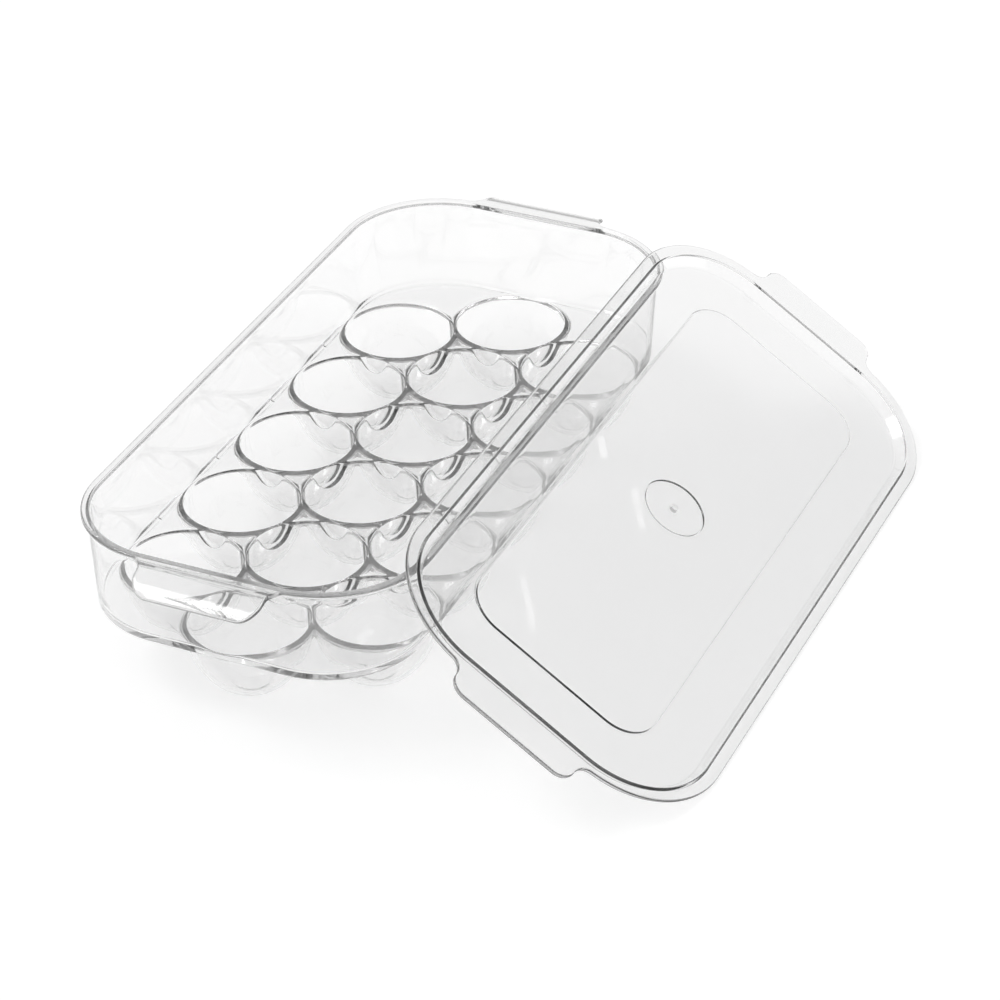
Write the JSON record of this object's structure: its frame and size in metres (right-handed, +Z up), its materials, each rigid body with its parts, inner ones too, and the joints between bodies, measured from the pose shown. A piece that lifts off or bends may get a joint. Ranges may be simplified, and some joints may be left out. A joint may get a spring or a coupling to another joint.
{
  "type": "egg keeper",
  "caption": "Clear plastic egg tray with hanging cups, drafted walls, rim and end handles, and a loose flanged lid leaning on its long side.",
  "frame": {"origin": "middle of the tray, on the table that its cups stand on", "axes": "+Y along the tray's length towards its back end, +X towards the leaning lid, +Z up"},
  "size_m": [0.2498, 0.3306, 0.0789],
  "materials": {
    "clear_tray": "clear injection-moulded plastic, polished",
    "clear_lid": "clear injection-moulded plastic, polished"
  },
  "bodies": {
    "tray": {"egg_cup_1": "clear_tray", "egg_cup_2": "clear_tray", "egg_cup_3": "clear_tray", "egg_cup_4": "clear_tray", "egg_cup_5": "clear_tray", "egg_cup_6": "clear_tray", "egg_cup_7": "clear_tray", "egg_cup_8": "clear_tray", "egg_cup_9": "clear_tray", "egg_cup_10": "clear_tray", "egg_cup_11": "clear_tray", "egg_cup_12": "clear_tray", "egg_cup_13": "clear_tray", "egg_cup_14": "clear_tray", "egg_cup_15": "clear_tray", "egg_cup_16": "clear_tray", "long_wall_left": "clear_tray", "long_wall_right": "clear_tray", "end_wall_front": "clear_tray", "end_wall_back": "clear_tray", "corner_wall_front_left": "clear_tray", "corner_wall_front_right": "clear_tray", "corner_wall_back_left": "clear_tray", "corner_wall_back_right": "clear_tray", "tray_handle_front": "clear_tray", "tray_handle_back": "clear_tray"},
    "lid": {"lid_panel": "clear_lid", "lid_long_edge_left": "clear_lid", "lid_long_edge_right": "clear_lid", "lid_end_edge_front": "clear_lid", "lid_end_edge_back": "clear_lid", "lid_corner_front_left": "clear_lid", "lid_corner_front_right": "clear_lid", "lid_corner_back_left": "clear_lid", "lid_corner_back_right": "clear_lid", "lid_tab_front": "clear_lid", "lid_tab_back": "clear_lid"}
  },
  "joints": [
    {"name": "lid_tip", "type": "hinge", "parent": "tray", "child": "lid", "pos_m": [0.17974, 0.003, 0.0009], "axis": [0, 1, 0], "range_deg": [0, 146.3]}
  ]
}
